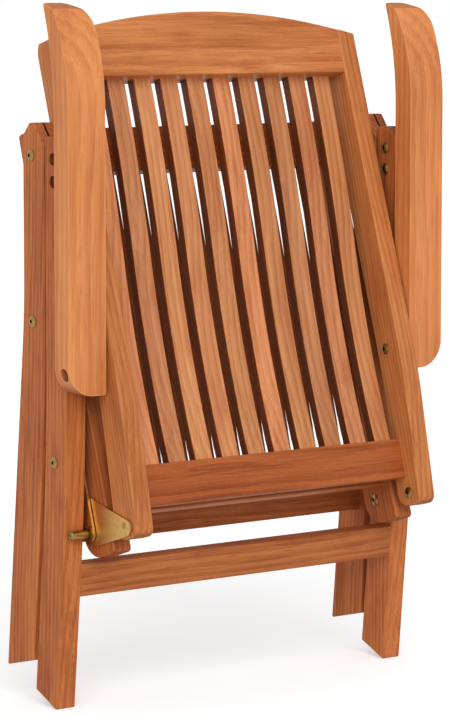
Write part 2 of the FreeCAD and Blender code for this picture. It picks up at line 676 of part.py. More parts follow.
def make_links():
    """Straps from the rear legs to the seat's foot, each with a stub pin."""
    along = math.degrees(math.atan2(LINK_PIVOT[0] - LINK_END[0], LINK_PIVOT[1] - LINK_END[1]))
    place = leaning(LINK_END, along)
    length = math.hypot(LINK_PIVOT[0] - LINK_END[0], LINK_PIVOT[1] - LINK_END[1])
    half = STRAP_WIDTH / 2
    radius = half - ROUND_SHY
    side = [place(-half, -half) + (radius,), place(half, -half) + (radius,),
            place(half, length + half) + (radius,), place(-half, length + half) + (radius,)]
    strap = slab(side, STRAP_INNER, STRAP_OUTER)
    strap = bore_holes(strap, (LINK_PIVOT,), BORE_RADIUS, STRAP_INNER - CUT_PAST,
                       STRAP_OUTER + CUT_PAST)
    tip = STRAP_OUTER + STUB_LONG
    pin = rod(LINK_END, STUB_RADIUS, STRAP_OUTER, tip)
    pin = pin.makeChamfer(STUB_CHAMFER, [edge for edge in pin.Edges
                                         if edge.BoundBox.XMin > tip - TINY])
    collar = rod(LINK_END, STUB_COLLAR_RADIUS, STRAP_OUTER, STRAP_OUTER + STUB_COLLAR_THICK)
    centre_mark = rod(LINK_END, STUB_CENTRE_RADIUS, tip - STUB_CENTRE_DEEP, tip + CUT_PAST)
    pin = pin.fuse(collar).cut(centre_mark)
    return {"link_strap_right": strap, "link_strap_left": mirrored(strap),
            "stub_pin_right": pin, "stub_pin_left": mirrored(pin)}


def domed_cap(face, outward, centre):
    """A low domed head on a face at x, bulging the way of outward, with a hexagon socket."""
    rise = HEAD_HIGH - HEAD_RIM
    dome = (rise ** 2 + HEAD_RADIUS ** 2) / (2 * rise)
    half = math.asin(HEAD_RADIUS / dome) / 2
    edge = V(HEAD_RIM, HEAD_RADIUS, 0)
    shoulder = V(HEAD_HIGH - dome * (1 - math.cos(half)), dome * math.sin(half), 0)
    crown = V(HEAD_HIGH, 0, 0)
    outline = Part.Wire([
        Part.LineSegment(V(0, 0, 0), V(0, HEAD_RADIUS, 0)).toShape(),
        Part.LineSegment(V(0, HEAD_RADIUS, 0), edge).toShape(),
        Part.Arc(edge, shoulder, crown).toShape(),
        Part.LineSegment(crown, V(0, 0, 0)).toShape(),
    ])
    cap = Part.Face(outline).revolve(V(0, 0, 0), V(1, 0, 0), 360)
    radius = SOCKET_ACROSS / math.sqrt(3)
    corners = [math.radians(60 * i) for i in range(6)]
    hexagon = [V(HEAD_HIGH - SOCKET_DEEP, radius * math.cos(turn), radius * math.sin(turn))
               for turn in corners]
    socket = Part.Face(Part.makePolygon(hexagon + [hexagon[0]])).extrude(V(HEAD_HIGH, 0, 0))
    cap = cap.cut(socket)
    if outward < 0:
        cap = cap.mirror(V(0, 0, 0), V(1, 0, 0))
    cap.translate(V(face, centre[0], centre[1]))
    return cap


def joint_bolt(centre, head_face, nut_face):
    """A bolt with its domed head at one x and its sleeve nut's domed head at another."""
    outward = 1 if head_face > nut_face else -1
    middle = nut_face + outward * min(SLEEVE_LONG, abs(head_face - nut_face) / 2)
    shank = rod(centre, BOLT_RADIUS, *sorted((middle, head_face)))
    thread = rod(centre, THREAD_RADIUS, *sorted((nut_face + outward * THREAD_END_GAP, middle)))
    bolt = domed_cap(head_face, outward, centre).fuse([shank, thread]).removeSplitter()
    sleeve = rod(centre, BOLT_RADIUS, *sorted((nut_face, middle - outward * FACE_GAP)))
    nut = domed_cap(nut_face, -outward, centre).fuse(sleeve).removeSplitter()
    nut = nut.cut(rod(centre, THREAD_RADIUS + RUNNING_GAP, *sorted((nut_face, middle))))
    return [bolt, nut]


def both_sides(solids):
    return Part.makeCompound(solids + [mirrored(solid) for solid in solids])


def make_fasteners():
    parts = {}
    parts["leg_pivot_bolts"] = both_sides(joint_bolt(LEG_PIVOT, LEG_OUTER, LEG_INNER))
    parts["seat_pivot_bolts"] = both_sides(joint_bolt(SEAT_PIVOT, LEG_OUTER, FRAME_INNER - FACE_GAP))
    parts["link_pivot_bolts"] = both_sides(
        joint_bolt(LINK_PIVOT, LEG_OUTER, STRAP_INNER - FACE_GAP))
    parts["arm_pivot_bolts"] = both_sides(
        joint_bolt(ARM_PIVOT, STILE_INNER, ARM_OUTER - COUNTERBORE_DEEP + FACE_GAP))
    parts["back_pivot_bolts"] = both_sides(
        [bolt_with_flush_end(BACK_PIVOT, STILE_INNER - FACE_GAP)])
    parts["link_end_bolts"] = both_sides([bolt_with_flush_end(LINK_END, FRAME_INNER)])
    plate_bolts = []
    for centre in PLATE_BOLTS:
        plate_bolts += joint_bolt(centre, LEG_INNER, LEG_OUTER - WELL_DEEP)
    parts["hinge_plate_bolts"] = both_sides(plate_bolts)
    spacer = tube(SEAT_PIVOT, SPACER_RADIUS, BORE_RADIUS, FRAME_OUTER, LEG_INNER - FACE_GAP)
    parts["seat_pivot_spacers"] = both_sides([spacer])
    washer = tube(ARM_PIVOT, SPACER_RADIUS, BORE_RADIUS, STILE_OUTER, ARM_INNER - FACE_GAP)
    parts["arm_pivot_washers"] = both_sides([washer])
    washer = tube(LINK_PIVOT, SPACER_RADIUS, BORE_RADIUS, STRAP_OUTER + FACE_GAP, LEG_INNER)
    parts["link_pivot_washers"] = both_sides([washer])
    return parts


def bolt_with_flush_end(centre, head_face):
    """A domed bolt through a wooden member that ends flush with the bracket's outer face."""
    shank = rod(centre, BOLT_RADIUS, head_face, FRAME_OUTER + STRAP_THICK)
    return domed_cap(head_face, -1, centre).fuse(shank).removeSplitter()


def export(parts):
    """Put the origin under the middle of the whole chair and write one file per piece."""
    whole = Part.makeCompound(list(parts.values())).optimalBoundingBox()
    shift = V(0, -(whole.YMin + whole.YMax) / 2, -whole.ZMin)
    os.makedirs("parts", exist_ok=True)
    for name, shape in sorted(parts.items()):
        moved = shape.copy()
        moved.translate(shift)
        if not moved.isValid():
            print("not valid:", name)
        moved.exportStep("parts/%s.step" % name)
    pivots = {"leg": LEG_PIVOT, "seat": SEAT_PIVOT, "link": LINK_PIVOT, "link_end": LINK_END,
              "back": BACK_PIVOT, "arm": ARM_PIVOT}
    for name, (y, z) in pivots.items():
        print("pivot %s y %.3f z %.3f" % (name, y + shift.y, z + shift.z))
    print("size %.1f x %.1f x %.1f" % (whole.XLength, whole.YLength, whole.ZLength))
    print("nodes", len(parts))


def main():
    parts = {}
    for make in (make_legs, make_hinge_plates, make_seat, make_back, make_arms, make_brackets,
                 make_links, make_fasteners):
        parts.update(make())
    export(parts)


main()
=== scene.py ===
import math
import random

import bpy
from mathutils import Euler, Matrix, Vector


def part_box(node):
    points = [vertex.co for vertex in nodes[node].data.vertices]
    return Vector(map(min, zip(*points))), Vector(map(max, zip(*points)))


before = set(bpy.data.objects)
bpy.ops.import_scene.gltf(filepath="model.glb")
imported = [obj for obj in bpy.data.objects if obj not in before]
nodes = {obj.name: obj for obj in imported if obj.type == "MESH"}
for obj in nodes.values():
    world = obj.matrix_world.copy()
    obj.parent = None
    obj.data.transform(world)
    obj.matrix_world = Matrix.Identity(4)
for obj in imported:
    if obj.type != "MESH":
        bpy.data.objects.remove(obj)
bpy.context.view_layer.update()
print("loaded the chair,", len(nodes), "pieces")


# Helpers for node trees. A value that is a socket gets linked, any other is typed in.

def setOrLink(tree, socket, value):
    if isinstance(value, bpy.types.NodeSocket):
        tree.links.new(value, socket)
    else:
        socket.default_value = value


def addMath(tree, operation, *values, clamp=False):
    node = tree.nodes.new("ShaderNodeMath")
    node.operation = operation
    node.use_clamp = clamp
    for socket, value in zip(node.inputs, values):
        setOrLink(tree, socket, value)
    return node.outputs[0]


def addVectorMath(tree, operation, *values):
    node = tree.nodes.new("ShaderNodeVectorMath")
    node.operation = operation
    for socket, value in zip(node.inputs, values):
        setOrLink(tree, socket, value)
    return node.outputs["Value"] if operation in ("LENGTH", "DOT_PRODUCT") else node.outputs[0]


def addMix(tree, share, first, second, blend="MIX"):
    node = tree.nodes.new("ShaderNodeMix")
    node.data_type = "RGBA"
    node.blend_type = blend
    sockets = {s.identifier: s for s in node.inputs}
    setOrLink(tree, sockets["Factor_Float"], share)
    setOrLink(tree, sockets["A_Color"], first)
    setOrLink(tree, sockets["B_Color"], second)
    return next(s for s in node.outputs if s.identifier == "Result_Color")


def addStep(tree, value, low, high):
    node = tree.nodes.new("ShaderNodeMapRange")
    node.interpolation_type = "SMOOTHSTEP"
    for name, item in (("Value", value), ("From Min", low), ("From Max", high)):
        setOrLink(tree, node.inputs[name], item)
    return node.outputs["Result"]


def addNoise(tree, place, stretch, detail=2.0, roughness=0.5):
    node = tree.nodes.new("ShaderNodeTexNoise")
    tree.links.new(addVectorMath(tree, "MULTIPLY", place, stretch), node.inputs["Vector"])
    node.inputs["Scale"].default_value = 1.0
    node.inputs["Detail"].default_value = detail
    node.inputs["Roughness"].default_value = roughness
    return node.outputs["Fac"]


def newGroup(name, inputs, outputs):
    group = bpy.data.node_groups.new(name, "ShaderNodeTree")
    for label, kind, value in inputs:
        socket = group.interface.new_socket(label, in_out="INPUT", socket_type="NodeSocket" + kind)
        if value is not None:
            socket.default_value = value
    for label, kind in outputs:
        group.interface.new_socket(label, in_out="OUTPUT", socket_type="NodeSocket" + kind)
    taken = group.nodes.new("NodeGroupInput").outputs
    given = group.nodes.new("NodeGroupOutput").inputs
    return group, taken, given


def placeGroup(tree, group, values):
    node = tree.nodes.new("ShaderNodeGroup")
    node.node_tree = group
    for name, value in values.items():
        setOrLink(tree, node.inputs[name], value)
    return node.outputs


# A colour is written as it looks on the screen, 0 to 255, and the shader needs it as light

def asLight(colour, strength=1.0):
    parts = []
    for part in colour:
        part = part / 255
        part = part / 12.92 if part <= 0.04045 else ((part + 0.055) / 1.055) ** 2.4
        parts.append(min(part * strength, 1.0))
    return (*parts, 1.0)


# Teak grain in a board's own space: Z runs along the board, in metres, and the heart of the
# tree lies along Z as well, so that faces show streaks or arcs and the ends show rings

# Each noise's fineness across, across and along the board, in cells per metre
grainStretch = {
    "sway": (9.0, 9.0, 2.6), "ragged": (160.0, 160.0, 11.0), "wide": (300.0, 300.0, 7.0),
    "narrow": (1150.0, 1150.0, 24.0), "pores": (900.0, 900.0, 20.0), "slow": (26.0, 26.0, 3.6),
    "smudges": (34.0, 34.0, 10.0), "flecks": (520.0, 520.0, 130.0),
}
grainTints = {"pores": (0.36, 0.27, 0.20, 1), "flecks": (0.95, 0.62, 0.36, 1)}
swayReach = (0.022, 0.022, 0.0)


def makeGrainGroup():
    tree, taken, given = newGroup(
        "teakGrain",
        [("Board", "Vector", None), ("Pale", "Color", (0.75, 0.33, 0.13, 1)),
         ("Deep", "Color", (0.5, 0.2, 0.08, 1)), ("Red", "Color", (0.45, 0.15, 0.07, 1)),
         ("Ring Width", "Float", 0.006), ("Figure", "Float", 0.3), ("Streaks", "Float", 0.4),
         ("Smudges", "Float", 0.3), ("Flecks", "Float", 0.2)],
        [("Colour", "Color"), ("Roughness", "Float"), ("Height", "Float")])
    sway = tree.nodes.new("ShaderNodeTexNoise")
    tree.links.new(addVectorMath(tree, "MULTIPLY", taken["Board"], grainStretch["sway"]),
                    sway.inputs["Vector"])
    sway.inputs["Scale"].default_value = 1.0
    sway.inputs["Detail"].default_value = 1.5
    shift = addVectorMath(tree, "SUBTRACT", sway.outputs["Color"], (0.5, 0.5, 0.5))
    shift = addVectorMath(tree, "MULTIPLY", shift, swayReach)
    board = addVectorMath(tree, "ADD", taken["Board"], shift)
    # growth rings: a slow rise to the dark late wood, then a quick return
    flat = addVectorMath(tree, "MULTIPLY", board, (1.0, 1.0, 0.0))
    rings = addMath(tree, "DIVIDE", addVectorMath(tree, "LENGTH", flat), taken["Ring Width"])
    ragged = addNoise(tree, board, grainStretch["ragged"], 2.0)
    rings = addMath(tree, "MULTIPLY_ADD", ragged, 0.55, rings)
    phase = addMath(tree, "FRACT", rings)
    late = addMath(tree, "MULTIPLY", addStep(tree, phase, 0.2, 0.88),
                   addStep(tree, phase, 1.0, 0.93))
    # streaks along the board, wide and narrow, and the open pores of the early wood
    wide = addNoise(tree, board, grainStretch["wide"], 3.0, 0.6)
    narrow = addNoise(tree, board, grainStretch["narrow"], 2.0, 0.6)
    pores = addStep(tree, addNoise(tree, board, grainStretch["pores"], 2.0, 0.65), 0.56, 0.70)
    pores = addMath(tree, "MULTIPLY", pores, addMath(tree, "MULTIPLY_ADD", late, -0.6, 1.0))
    slow = addNoise(tree, taken["Board"], grainStretch["slow"], 2.0)
    share = addMath(tree, "MULTIPLY_ADD", addMath(tree, "SUBTRACT", late, 0.4), taken["Figure"], 0.42)
    share = addMath(tree, "MULTIPLY_ADD", addMath(tree, "SUBTRACT", wide, 0.5),
                    addMath(tree, "MULTIPLY", taken["Streaks"], 2.6), share)
    share = addMath(tree, "MULTIPLY_ADD", addMath(tree, "SUBTRACT", narrow, 0.5),
                    addMath(tree, "MULTIPLY", taken["Streaks"], 1.3), share)
    share = addMath(tree, "MULTIPLY_ADD", addMath(tree, "SUBTRACT", slow, 0.5), 1.5, share)
    share = addMath(tree, "MAXIMUM", addMath(tree, "MINIMUM", share, 1.0), 0.0)
    colour = addMix(tree, share, taken["Pale"], taken["Deep"])
    # reddish smudges, dark pores, and small pale flecks where the plane lifted the grain
    smudge = addStep(tree, addNoise(tree, taken["Board"], grainStretch["smudges"], 3.0, 0.6), 0.5, 0.72)
    colour = addMix(tree, addMath(tree, "MULTIPLY", smudge, taken["Smudges"]), colour, taken["Red"])
    dark = addMath(tree, "MULTIPLY", pores, taken["Streaks"])
    colour = addMix(tree, dark, colour, grainTints["pores"], "MULTIPLY")
    fleck = addStep(tree, addNoise(tree, taken["Board"], grainStretch["flecks"], 1.0), 0.62, 0.74)
    fleck = addMath(tree, "MULTIPLY", fleck, taken["Flecks"])
    colour = addMix(tree, fleck, colour, grainTints["flecks"], "SCREEN")
    tree.links.new(colour, given["Colour"])
    rough = addMath(tree, "MULTIPLY_ADD", narrow, 0.22, -0.11)
    rough = addMath(tree, "MULTIPLY_ADD", pores, 0.10, rough)
    tree.links.new(addMath(tree, "MULTIPLY_ADD", late, -0.05, rough), given["Roughness"])
    height = addMath(tree, "MULTIPLY_ADD", pores, -0.8, addMath(tree, "MULTIPLY", narrow, 0.5))
    tree.links.new(addMath(tree, "MULTIPLY_ADD", late, 0.25, height), given["Height"])
    return tree


# Where a corner is rounded, the finish is rubbed thin and the rounding catches the light: a broken pale
# line along the edge, partly wear and partly painted highlight

edgeSettings = {"width": 0.003, "broken": 0.45, "samples": 6, "breaks": (240.0, 240.0, 40.0)}


def makeEdgeGroup():
    tree, taken, given = newGroup(
        "rubbedEdgesAndHighlight",
        [("Board", "Vector", None), ("Width", "Float", 0.003), ("Broken", "Float", 0.5)],
        [("Mask", "Float")])
    bevel = tree.nodes.new("ShaderNodeBevel")
    bevel.samples = edgeSettings["samples"]
    tree.links.new(taken["Width"], bevel.inputs["Radius"])
    face = tree.nodes.new("ShaderNodeNewGeometry")
    turn = addVectorMath(tree, "DOT_PRODUCT", bevel.outputs["Normal"], face.outputs["True Normal"])
    edge = addStep(tree, addMath(tree, "ABSOLUTE", turn), 0.995, 0.90)
    breaks = addStep(tree, addNoise(tree, taken["Board"], edgeSettings["breaks"], 3.0, 0.6), 0.36, 0.62)
    breaks = addMath(tree, "MULTIPLY_ADD", addMath(tree, "SUBTRACT", breaks, 1.0), taken["Broken"], 1.0)
    tree.links.new(addMath(tree, "MULTIPLY", edge, breaks, clamp=True), given["Mask"])
    return tree


# Sawn ends drink more oil and are darker, with the saw's fine steps across them. The group also gives a
# mask of a board's two narrow sides, where shade is painted

endAndSideShadeSettings = {
    "saw": (1400.0, 240.0, 240.0), "darkness": 0.75, "tint": (0.60, 0.50, 0.42, 1),
    # the last colour is the painted shade on a board's narrow sides
    "sideShadeColour": (0.26, 0.13, 0.05, 1),
}


def makeEndAndSideShadeGroup():
    tree, taken, given = newGroup(
        "sawnEndsAndSideShade", [("Board", "Vector", None), ("Board Normal", "Vector", None)],
        [("Mask", "Float"), ("Shaded Sides", "Float"), ("Height", "Float")])
    split = tree.nodes.new("ShaderNodeSeparateXYZ")
    tree.links.new(taken["Board Normal"], split.inputs[0])
    mask = addStep(tree, addMath(tree, "ABSOLUTE", split.outputs["Z"]), 0.55, 0.88)
    tree.links.new(mask, given["Mask"])
    # the two narrow sides, where the slats get painted shade
    shadedSides = addStep(tree, addMath(tree, "ABSOLUTE", split.outputs["X"]), 0.6, 0.95)
    tree.links.new(shadedSides, given["Shaded Sides"])
    steps = addNoise(tree, taken["Board"], endAndSideShadeSettings["saw"], 2.0)
    tree.links.new(addMath(tree, "MULTIPLY", mask, steps), given["Height"])
    return tree


# Small dents and rubs from folding the chair up and carrying it about

handlingSettings = {
    "broad": (55.0, 55.0, 20.0), "fine": (900.0, 160.0, 300.0), "dentsPerMetre": 38.0,
}


def makeHandlingGroup():
    tree, taken, given = newGroup(
        "handlingMarks", [("Board", "Vector", None), ("Amount", "Float", 0.4)],
        [("Rubs", "Float"), ("Dents", "Float")])
    broad = addStep(tree, addNoise(tree, taken["Board"], handlingSettings["broad"], 4.0, 0.65), 0.55, 0.75)
    fine = addStep(tree, addNoise(tree, taken["Board"], handlingSettings["fine"], 2.0, 0.7), 0.60, 0.72)
    rubs = addMath(tree, "MULTIPLY", broad, fine)
    tree.links.new(addMath(tree, "MULTIPLY", rubs, taken["Amount"]), given["Rubs"])
    cells = tree.nodes.new("ShaderNodeTexVoronoi")
    tree.links.new(taken["Board"], cells.inputs["Vector"])
    cells.inputs["Scale"].default_value = handlingSettings["dentsPerMetre"]
    cells.inputs["Randomness"].default_value = 1.0
    dents = addStep(tree, cells.outputs["Distance"], 0.12, 0.02)
    tree.links.new(addMath(tree, "MULTIPLY", dents, taken["Amount"]), given["Dents"])
    return tree


# Painted shade in the hollows of a piece: bolt wells, sockets, saw slots

hollowShadeSamples = 6
woodHollowShade = {"reach": 0.012, "amount": 0.9, "tint": (0.16, 0.09, 0.05, 1)}
metalHollowShade = {"reach": 0.004, "amount": 0.95, "tint": (0.05, 0.04, 0.03, 1)}


def makeHollowShadeGroup():
    tree, taken, given = newGroup(
        "paintedHollowShade", [("Reach", "Float", 0.01), ("Amount", "Float", 0.8)],
        [("Mask", "Float")])
    around = tree.nodes.new("ShaderNodeAmbientOcclusion")
    around.only_local = True
    around.samples = hollowShadeSamples
    tree.links.new(taken["Reach"], around.inputs["Distance"])
    shut = addStep(tree, around.outputs["AO"], 0.92, 0.35)
    tree.links.new(addMath(tree, "MULTIPLY", shut, taken["Amount"]), given["Mask"])
    return tree


grainGroup = makeGrainGroup()
hollowShadeGroup = makeHollowShadeGroup()
edgeGroup = makeEdgeGroup()
endAndSideShadeGroup = makeEndAndSideShadeGroup()
handlingGroup = makeHandlingGroup()
print("made the grain, edge, end, handling and hollow effects")


def newMaterial(name):
    material = bpy.data.materials.new(name)
    material.use_nodes = True
    tree = material.node_tree
    shader = next(n for n in tree.nodes if n.type == "BSDF_PRINCIPLED")
    return material, tree, shader


# paints shade into the colour where the piece itself closes around a point
def paintHollowShade(tree, colour, hollows):
    hollow = placeGroup(tree, hollowShadeGroup, {"Reach": hollows["reach"], "Amount": hollows["amount"]})
    return addMix(tree, hollow["Mask"], colour, hollows["tint"], "MULTIPLY")


def addBump(tree, shader, height, strength, depth):
    bump = tree.nodes.new("ShaderNodeBump")
    bump.inputs["Strength"].default_value = strength
    bump.inputs["Distance"].default_value = depth
    tree.links.new(height, bump.inputs["Height"])
    tree.links.new(bump.outputs[0], shader.inputs["Normal"])


def giveMaterial(piece, material):
    for slot in nodes[piece].material_slots:
        slot.material = material


woodBump = {"strength": 0.35, "depth": 0.0004}
metalBumpDepth = 0.0001


def dressBoard(piece, board, lean=0.0, crosswise=False, seed=0):
    # the board's own space: its middle moved to the origin and its length turned to Z
    low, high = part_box(piece)
    turn = Euler((math.radians(lean), math.radians(-90 if crosswise else 0), 0.0))
    middle = turn.to_matrix() @ ((low + high) / 2)
    heart = Vector((board["heart"][0], board["heart"][1], 0.37 * seed))
    material, tree, shader = newMaterial("teak_" + piece)
    coordinates = tree.nodes.new("ShaderNodeTexCoord")
    mapping = tree.nodes.new("ShaderNodeMapping")
    mapping.inputs["Rotation"].default_value = turn
    mapping.inputs["Location"].default_value = heart - middle
    tree.links.new(coordinates.outputs["Object"], mapping.inputs["Vector"])
    facing = tree.nodes.new("ShaderNodeMapping")
    facing.inputs["Rotation"].default_value = turn
    tree.links.new(coordinates.outputs["Normal"], facing.inputs["Vector"])
    place = mapping.outputs[0]
    grain = placeGroup(tree, grainGroup, {
        "Board": place, "Pale": asLight(board["pale"]), "Deep": asLight(board["deep"]),
        "Red": asLight(board["red"]), "Ring Width": board["ringWidth"],
        "Figure": board["figure"], "Streaks": board["streaks"], "Smudges": board["smudges"],
        "Flecks": board["flecks"]})
    edge = placeGroup(tree, edgeGroup, {"Board": place, "Width": edgeSettings["width"],
                                        "Broken": edgeSettings["broken"]})
    ends = placeGroup(tree, endAndSideShadeGroup, {"Board": place, "Board Normal": facing.outputs[0]})
    marks = placeGroup(tree, handlingGroup, {"Board": place, "Amount": board["marks"]})
    sawn = addMath(tree, "MULTIPLY", ends["Mask"], endAndSideShadeSettings["darkness"])
    colour = addMix(tree, sawn, grain["Colour"], endAndSideShadeSettings["tint"], "MULTIPLY")
    # a pale line along the rounded edges: worn finish, and a painted highlight too
    colour = addMix(tree, addMath(tree, "MULTIPLY", edge["Mask"], board["edgeWearAndHighlight"]), colour,
                    asLight(board["edge"]))
    colour = addMix(tree, marks["Rubs"], colour, asLight(board["red"], 0.8))
    # painted shade on the narrow sides of the slats, where they close in on each other
    colour = addMix(tree, addMath(tree, "MULTIPLY", ends["Shaded Sides"], board["sideShade"]), colour,
                    endAndSideShadeSettings["sideShadeColour"], "MULTIPLY")
    # painted shade in the board's own hollows
    colour = paintHollowShade(tree, colour, woodHollowShade)
    tree.links.new(colour, shader.inputs["Base Color"])
    rough = addMath(tree, "ADD", grain["Roughness"], board["roughness"])
    rough = addMath(tree, "MULTIPLY_ADD", ends["Mask"], 0.2, rough)
    rough = addMath(tree, "MULTIPLY_ADD", edge["Mask"], -0.08, rough, clamp=True)
    tree.links.new(rough, shader.inputs["Roughness"])
    shader.inputs["Specular IOR Level"].default_value = board["sheen"]
    height = addMath(tree, "MULTIPLY_ADD", marks["Dents"], -1.5, grain["Height"])
    height = addMath(tree, "ADD", height, ends["Height"])
    addBump(tree, shader, height, woodBump["strength"], woodBump["depth"])
    giveMaterial(piece, material)


# Legs and their stretchers: reddish boards

legBoards = {
    "pale": (205, 121, 67), "deep": (152, 77, 35), "red": (140, 62, 31),
    "edge": (214, 134, 77), "ringWidth": 0.0065, "figure": 0.42, "streaks": 0.6,
    "smudges": 0.35, "flecks": 0.04, "marks": 0.5, "edgeWearAndHighlight": 0.35, "roughness": 0.50,
    "sheen": 0.14, "sideShade": 0.0, "heart": (0.055, 0.085),
}
stretcherBoards = dict(legBoards, pale=(196, 118, 66), deep=(149, 77, 36), heart=(0.03, 0.05))


# Turn of each board's own space, in degrees
legLeans = {"rear_leg": -1.5, "front_leg": -2.0}
stretcherLeans = {"rear_stretcher": -5.4, "front_stretcher": -4.6}


def dressLegs():
    seed = 1
    for name, lean in legLeans.items():
        for side in ("left", "right"):
            dressBoard(name + "_" + side, legBoards, lean=lean, seed=seed)
            seed += 1
    for name, lean in stretcherLeans.items():
        dressBoard(name, stretcherBoards, lean=lean, crosswise=True, seed=seed)
        seed += 1


# Seat: side rails, cross rails and ten slats, mostly in the shade of the back

seatBoards = {
    "pale": (198, 116, 63), "deep": (150, 75, 35), "red": (140, 63, 32),
    "edge": (208, 129, 74), "ringWidth": 0.006, "figure": 0.4, "streaks": 0.55,
    "smudges": 0.3, "flecks": 0.04, "marks": 0.3, "edgeWearAndHighlight": 0.3, "roughness": 0.5,
    "sheen": 0.14, "sideShade": 0.0, "heart": (0.04, 0.07), "lean": 18.5,
}
# Slats are sawn from different planks, so each draws its own lightness, and the back slats
# also their redness and how strong the streaks are
slatDraws = {"seed": 1, "tone": (0.90, 1.02), "redder": (0.0, 0.6), "streaks": (0.25, 0.6)}


def toned(board, tone, redder=0.0):
    # one board's own tone: lighter or darker overall, and more or less red
    changed = dict(board)
    for key in ("pale", "deep"):
        red, green, blue = board[key]
        changed[key] = (min(red * tone, 255), green * tone * (1 - redder * 0.09),
                        blue * tone * (1 - redder * 0.02))
    return changed


def countSlats(start):
    return sum(name.startswith(start) for name in nodes)


def dressSeat():
    for seed, side in enumerate(("left", "right")):
        dressBoard("seat_rail_" + side, seatBoards, lean=seatBoards["lean"], seed=20 + seed)
    for seed, name in enumerate(("seat_front_rail", "seat_rear_rail")):
        dressBoard(name, seatBoards, lean=seatBoards["lean"], crosswise=True, seed=23 + seed)
    luck = random.Random(slatDraws["seed"])
    for place in range(countSlats("seat_slat_")):
        board = dict(toned(seatBoards, luck.uniform(*slatDraws["tone"])), sideShade=0.9)
        dressBoard("seat_slat_%02d" % (place + 1), board, lean=seatBoards["lean"],
                   seed=30 + place)


# Back: bent stiles, an arched crest, a bottom rail and ten slats

backBoards = {
    "pale": (226, 158, 103), "deep": (178, 108, 62), "red": (166, 82, 45),
    "edge": (227, 159, 102), "ringWidth": 0.0055, "figure": 0.38, "streaks": 0.5,
    "smudges": 0.3, "flecks": 0.04, "marks": 0.3, "edgeWearAndHighlight": 0.4, "roughness": 0.46,
    "sheen": 0.16, "sideShade": 0.0, "heart": (0.05, 0.08), "lean": 16.0,
}
crestBoard = dict(backBoards, pale=(219, 139, 80), deep=(170, 94, 49), flecks=0.05,
                  smudges=0.5, heart=(0.012, 0.09), ringWidth=0.009)
bottomRailBoard = dict(backBoards, pale=(179, 95, 48), deep=(135, 61, 26), figure=0.5,
                       heart=(0.004, 0.05), ringWidth=0.007)
stileBoards = dict(backBoards, pale=(214, 136, 78), deep=(165, 92, 47), streaks=0.45)


def dressBack():
    luck = random.Random(slatDraws["seed"] + 1)
    for place in range(countSlats("back_slat_")):
        tone = luck.uniform(*slatDraws["tone"])
        redder = luck.uniform(*slatDraws["redder"])
        streaks = luck.uniform(*slatDraws["streaks"])
        board = dict(toned(backBoards, tone, redder), streaks=streaks, sideShade=0.95)
        dressBoard("back_slat_%02d" % (place + 1), board, lean=backBoards["lean"],
                   seed=50 + place)
    dressBoard("back_crest_rail", crestBoard, lean=backBoards["lean"], crosswise=True, seed=61)
    dressBoard("back_bottom_rail", bottomRailBoard, lean=backBoards["lean"], crosswise=True,
               seed=62)
    for seed, side in enumerate(("left", "right")):
        dressBoard("back_stile_" + side, stileBoards, lean=backBoards["lean"], seed=63 + seed)


# Armrests: the smoothest boards, honey coloured

armBoards = {
    "pale": (229, 147, 86), "deep": (188, 106, 56), "red": (202, 107, 59),
    "edge": (244, 168, 107), "ringWidth": 0.010, "figure": 0.34, "streaks": 0.38,
    "smudges": 0.3, "flecks": 0.04, "marks": 0.35, "edgeWearAndHighlight": 0.45, "roughness": 0.42,
    "sheen": 0.2, "sideShade": 0.0, "heart": (0.06, 0.12),
}


def dressArms():
    dressBoard("armrest_left", armBoards, seed=71)
    dressBoard("armrest_right", armBoards, seed=74)


dressLegs()
dressSeat()
dressBack()
dressArms()
print("dressed the teak boards")


# Metal: turned and stamped brass, dull in the hollows with tarnish and painted shade, and plain steel
# hinge plates

metalStretch = {
    "cloud": (170.0, 170.0, 170.0), "lines": (260.0, 3200.0, 900.0), "spots": (700.0, 700.0, 700.0),
}


def makeMetalGroup():
    tree, taken, given = newGroup(
        "handledMetal",
        [("Place", "Vector", None), ("Bright", "Color", (0.8, 0.6, 0.3, 1)),
         ("Dull", "Color", (0.4, 0.28, 0.14, 1)), ("Brush", "Float", 0.3),
         ("Stain", "Float", 0.4)],
        [("Colour", "Color"), ("Roughness", "Float"), ("Height", "Float")])
    cloud = addStep(tree, addNoise(tree, taken["Place"], metalStretch["cloud"], 4.0, 0.6), 0.42, 0.72)
    lines = addNoise(tree, taken["Place"], metalStretch["lines"], 2.0, 0.6)
    spots = addStep(tree, addNoise(tree, taken["Place"], metalStretch["spots"], 3.0, 0.7), 0.60, 0.76)
    # the hollows turn to the dull brass: tarnish, and painted shade in the sockets
    face = tree.nodes.new("ShaderNodeNewGeometry")
    hollow = addStep(tree, face.outputs["Pointiness"], 0.49, 0.40)
    share = addMath(tree, "MULTIPLY", cloud, taken["Stain"])
    share = addMath(tree, "MAXIMUM", share, addMath(tree, "MULTIPLY", spots, taken["Stain"]))
    share = addMath(tree, "MULTIPLY_ADD", addMath(tree, "SUBTRACT", lines, 0.5), taken["Brush"], share)
    share = addMath(tree, "MAXIMUM", share, addMath(tree, "MULTIPLY", hollow, 0.92), clamp=True)
    tree.links.new(addMix(tree, share, taken["Bright"], taken["Dull"]), given["Colour"])
    rough = addMath(tree, "MULTIPLY_ADD", share, 0.30, addMath(tree, "MULTIPLY", lines, 0.12))
    tree.links.new(rough, given["Roughness"])
    tree.links.new(addMath(tree, "MULTIPLY_ADD", spots, -0.4, lines), given["Height"])
    return tree


